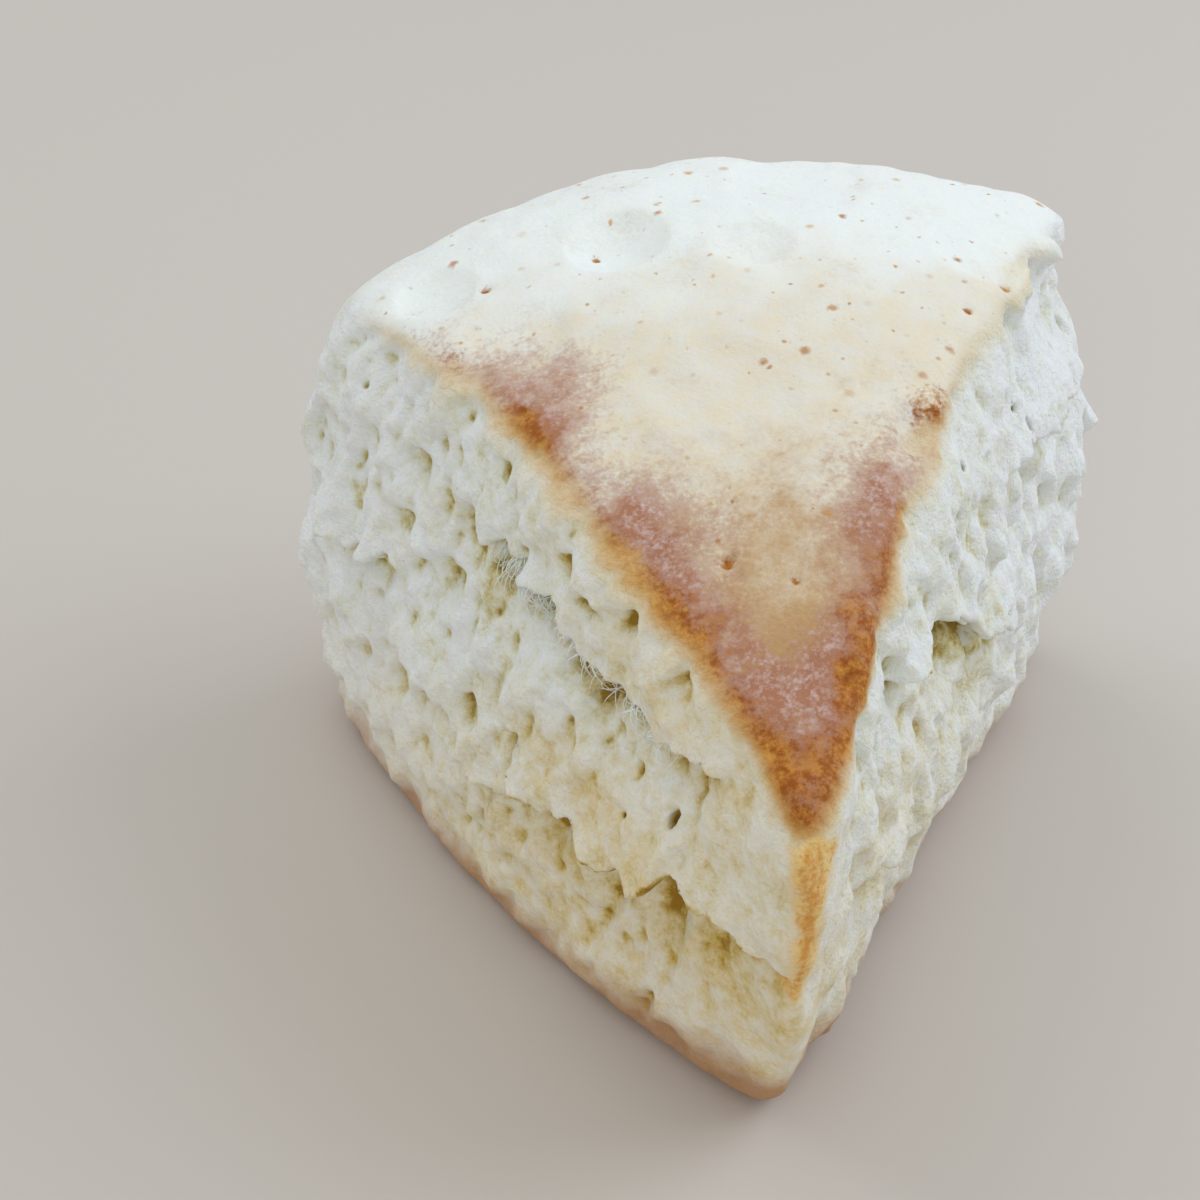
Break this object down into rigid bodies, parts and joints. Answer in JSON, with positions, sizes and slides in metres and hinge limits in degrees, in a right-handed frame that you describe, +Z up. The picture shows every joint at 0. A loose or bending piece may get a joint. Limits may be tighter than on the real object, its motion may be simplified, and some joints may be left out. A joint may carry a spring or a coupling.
{
  "type": "scone",
  "caption": "Triangular wedge of scone lying flat, with a browned crust, a round rim and two torn, pored cut walls that meet at a tip.",
  "frame": {"origin": "under the middle of the scone's box, on the surface it lies on", "axes": "+Z up through the crust, tip of the wedge towards -Y, rim towards +Y"},
  "size_m": [0.083, 0.0884, 0.0598],
  "materials": {
    "baked_dough": "matt baked dough crumb"
  },
  "bodies": {
    "root": {"scone": "baked_dough"}
  },
  "joints": []
}
